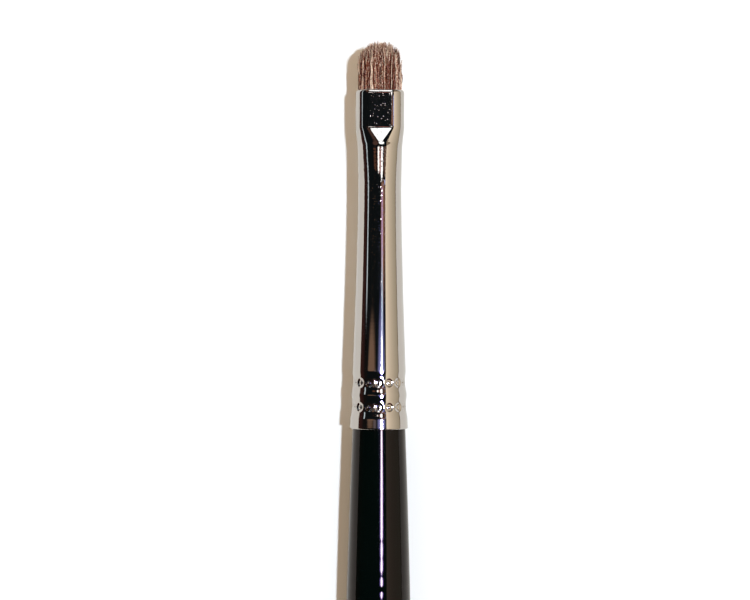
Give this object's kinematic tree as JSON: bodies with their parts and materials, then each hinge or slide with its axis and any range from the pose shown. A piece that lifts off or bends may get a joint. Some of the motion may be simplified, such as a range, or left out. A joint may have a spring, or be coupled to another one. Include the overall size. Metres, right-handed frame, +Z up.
{
  "type": "eyeshadow brush",
  "caption": "Flat eyeshadow brush: a short domed tuft of natural hair in a crimped metal ferrule on a turned, black-lacquered wooden handle.",
  "frame": {"origin": "on the table, under the middle of the brush's length, with the brush lying on its side", "axes": "+Y along the brush from the tail to the hair, +Z up through the thin side of the tuft, X across its wide side"},
  "size_m": [0.01, 0.17, 0.01],
  "materials": {
    "hair": "satin natural hair",
    "thread": "matte waxed thread",
    "resin": "gloss, cast",
    "plated_metal": "bright nickel plate, polished",
    "glue": "matte",
    "wood": "turned, sanded",
    "lacquer": "high-gloss black lacquer"
  },
  "bodies": {
    "root": {"hair_tuft": "hair", "hair_roots": "hair", "binding_thread": "thread", "root_resin": "resin", "ferrule": "plated_metal", "tenon_glue": "glue", "wooden_handle": "wood", "lacquer_coat": "lacquer"}
  },
  "joints": []
}
